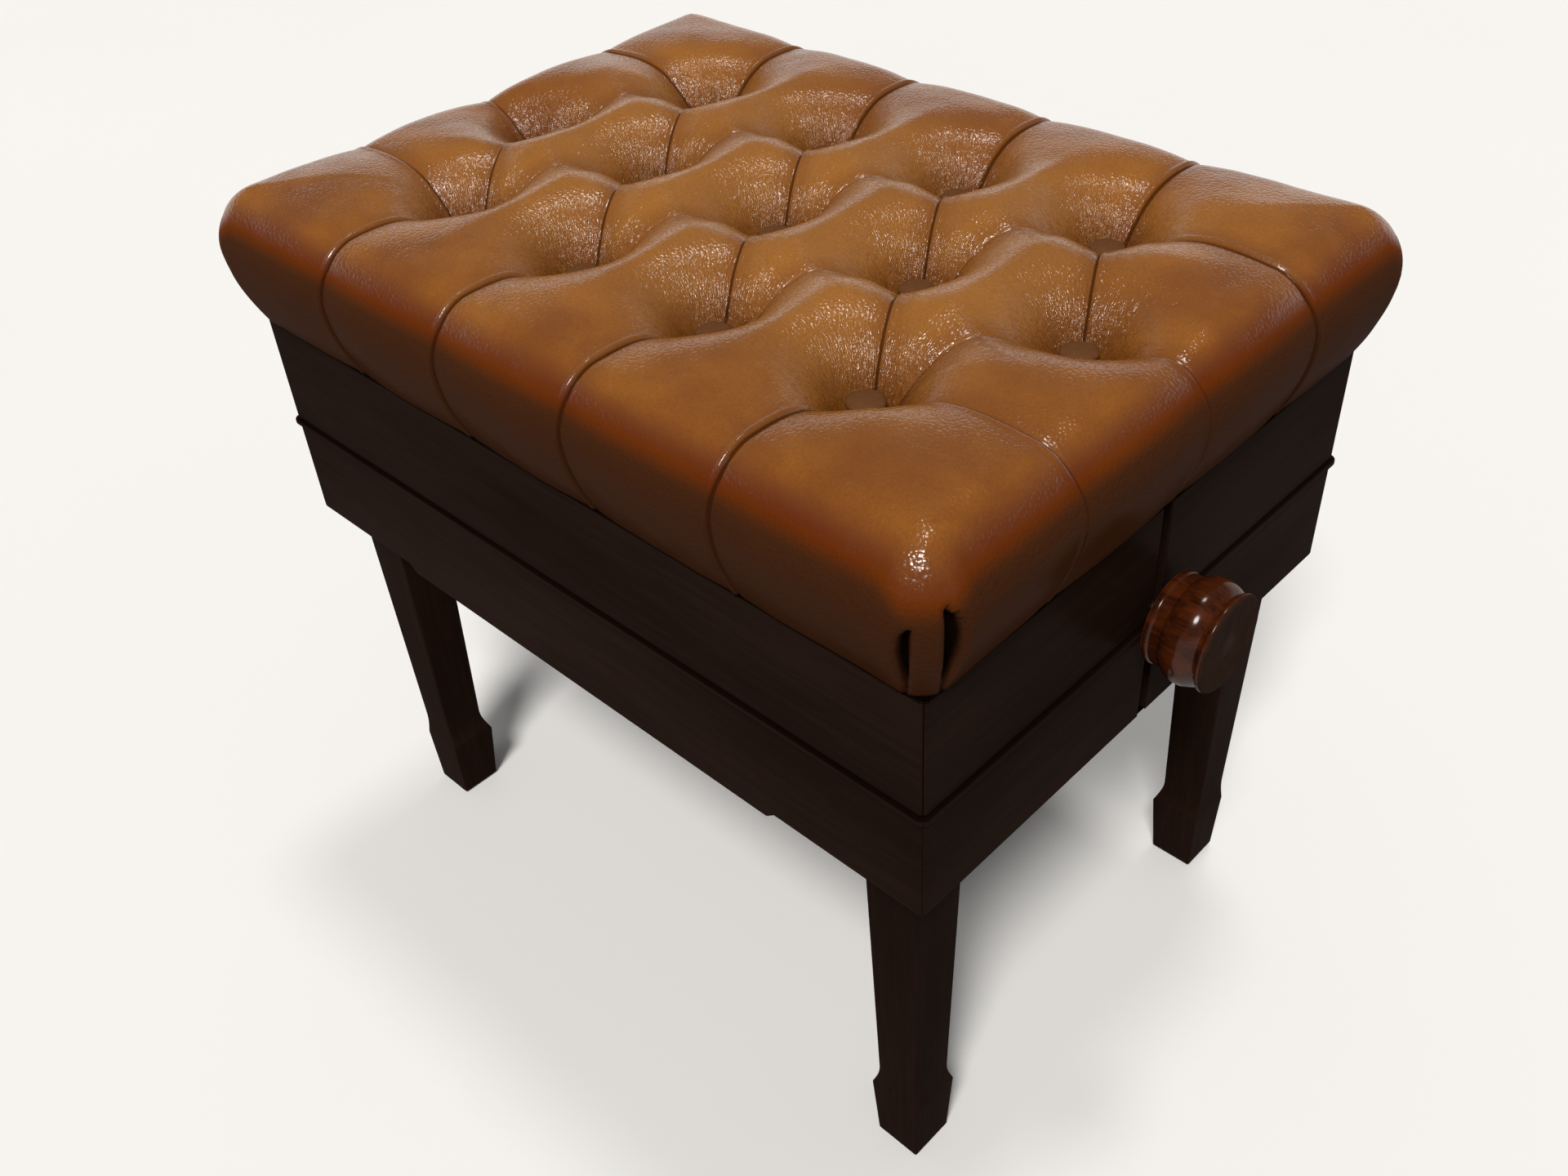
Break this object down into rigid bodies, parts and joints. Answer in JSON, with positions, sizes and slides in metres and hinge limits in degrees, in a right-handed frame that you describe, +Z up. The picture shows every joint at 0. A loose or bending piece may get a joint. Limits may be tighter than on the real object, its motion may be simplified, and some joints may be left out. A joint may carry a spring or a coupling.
{
  "type": "adjustable piano bench",
  "caption": "Adjustable piano bench: button-tufted leather cushion on a dark wooden box with spade-footed legs; knobs on the ends turn a screw that raises the seat on a scissor.",
  "frame": {"origin": "on the floor, under the centre of the bench", "axes": "+Z up, +X along the length of the bench, front towards -Y"},
  "size_m": [0.618, 0.413, 0.5104],
  "materials": {
    "dark_wood": "satin dark brown lacquer over fine straight grain",
    "inner_wood": "dull dark brown stain",
    "plywood": "bare pale plywood",
    "leather": "pebbled brown leather with a soft sheen, darker towards the edges",
    "button_leather": "grey-brown leather-covered button",
    "knob_wood": "glossy red-brown turned wood",
    "glide_nylon": "matt grey-brown nylon",
    "brass": "plain turned brass",
    "painted_steel": "satin black paint",
    "bright_steel": "bright zinc-plated steel"
  },
  "bodies": {
    "base": {"apron_front": "dark_wood", "apron_back": "dark_wood", "apron_left": "dark_wood", "apron_right": "dark_wood", "leg_front_left": "dark_wood", "leg_front_right": "dark_wood", "leg_back_left": "dark_wood", "leg_back_right": "dark_wood", "glides": "glide_nylon", "leg_bolts": "bright_steel", "inner_board_front": "inner_wood", "inner_board_back": "inner_wood", "inner_board_left": "inner_wood", "inner_board_right": "inner_wood", "base_rail_front": "painted_steel", "base_rail_back": "painted_steel", "base_rail_screws": "bright_steel", "spindle_bushes": "brass"},
    "seat": {"band_front": "dark_wood", "band_back": "dark_wood", "band_left": "dark_wood", "band_right": "dark_wood", "top_panel": "plywood", "seat_rail_front": "painted_steel", "seat_rail_back": "painted_steel", "seat_rail_screws": "bright_steel", "cushion_board": "plywood", "cushion_screws": "bright_steel", "cushion": "leather", "buttons": "button_leather"},
    "outer_arms": {"outer_arm_front": "painted_steel", "outer_arm_back": "painted_steel", "base_pivot_rod": "bright_steel", "seat_slide_rod": "bright_steel", "centre_rivets": "bright_steel"},
    "inner_arms": {"inner_arm_front": "painted_steel", "inner_arm_back": "painted_steel", "seat_pivot_rod": "bright_steel", "base_slide_rod": "bright_steel"},
    "spindle": {"spindle": "bright_steel", "thrust_collars": "bright_steel", "knob_left": "knob_wood", "knob_right": "knob_wood"},
    "carriage": {"carriage_yoke": "painted_steel", "lead_nut": "brass"}
  },
  "joints": [
    {"name": "seat_lift", "type": "slide", "parent": "base", "child": "seat", "axis": [0, 0, 1], "range_m": [0, 0.058]},
    {"name": "outer_arm_tilt", "type": "hinge", "parent": "base", "child": "outer_arms", "pos_m": [0.14507, 0, 0.319], "axis": [0, 1, 0], "range_deg": [0, 11.88]},
    {"name": "inner_arm_tilt", "type": "hinge", "parent": "seat", "child": "inner_arms", "pos_m": [0.14507, 0, 0.3953], "axis": [0, 1, 0], "range_deg": [-11.88, 0]},
    {"name": "carriage_slide", "type": "slide", "parent": "base", "child": "carriage", "axis": [1, 0, 0], "range_m": [0, 0.0219]},
    {"name": "spindle_turn", "type": "hinge", "parent": "base", "child": "spindle", "pos_m": [0, 0, 0.346], "axis": [1, 0, 0], "range_deg": [-2626, 0]}
  ],
  "couplings": [
    {"joint": "outer_arm_tilt", "follows": "seat_lift", "rad_per_m": 3.5689},
    {"joint": "inner_arm_tilt", "follows": "seat_lift", "rad_per_m": -3.5689},
    {"joint": "carriage_slide", "follows": "seat_lift", "ratio": 0.37715},
    {"joint": "spindle_turn", "follows": "seat_lift", "rad_per_m": -789.91}
  ]
}
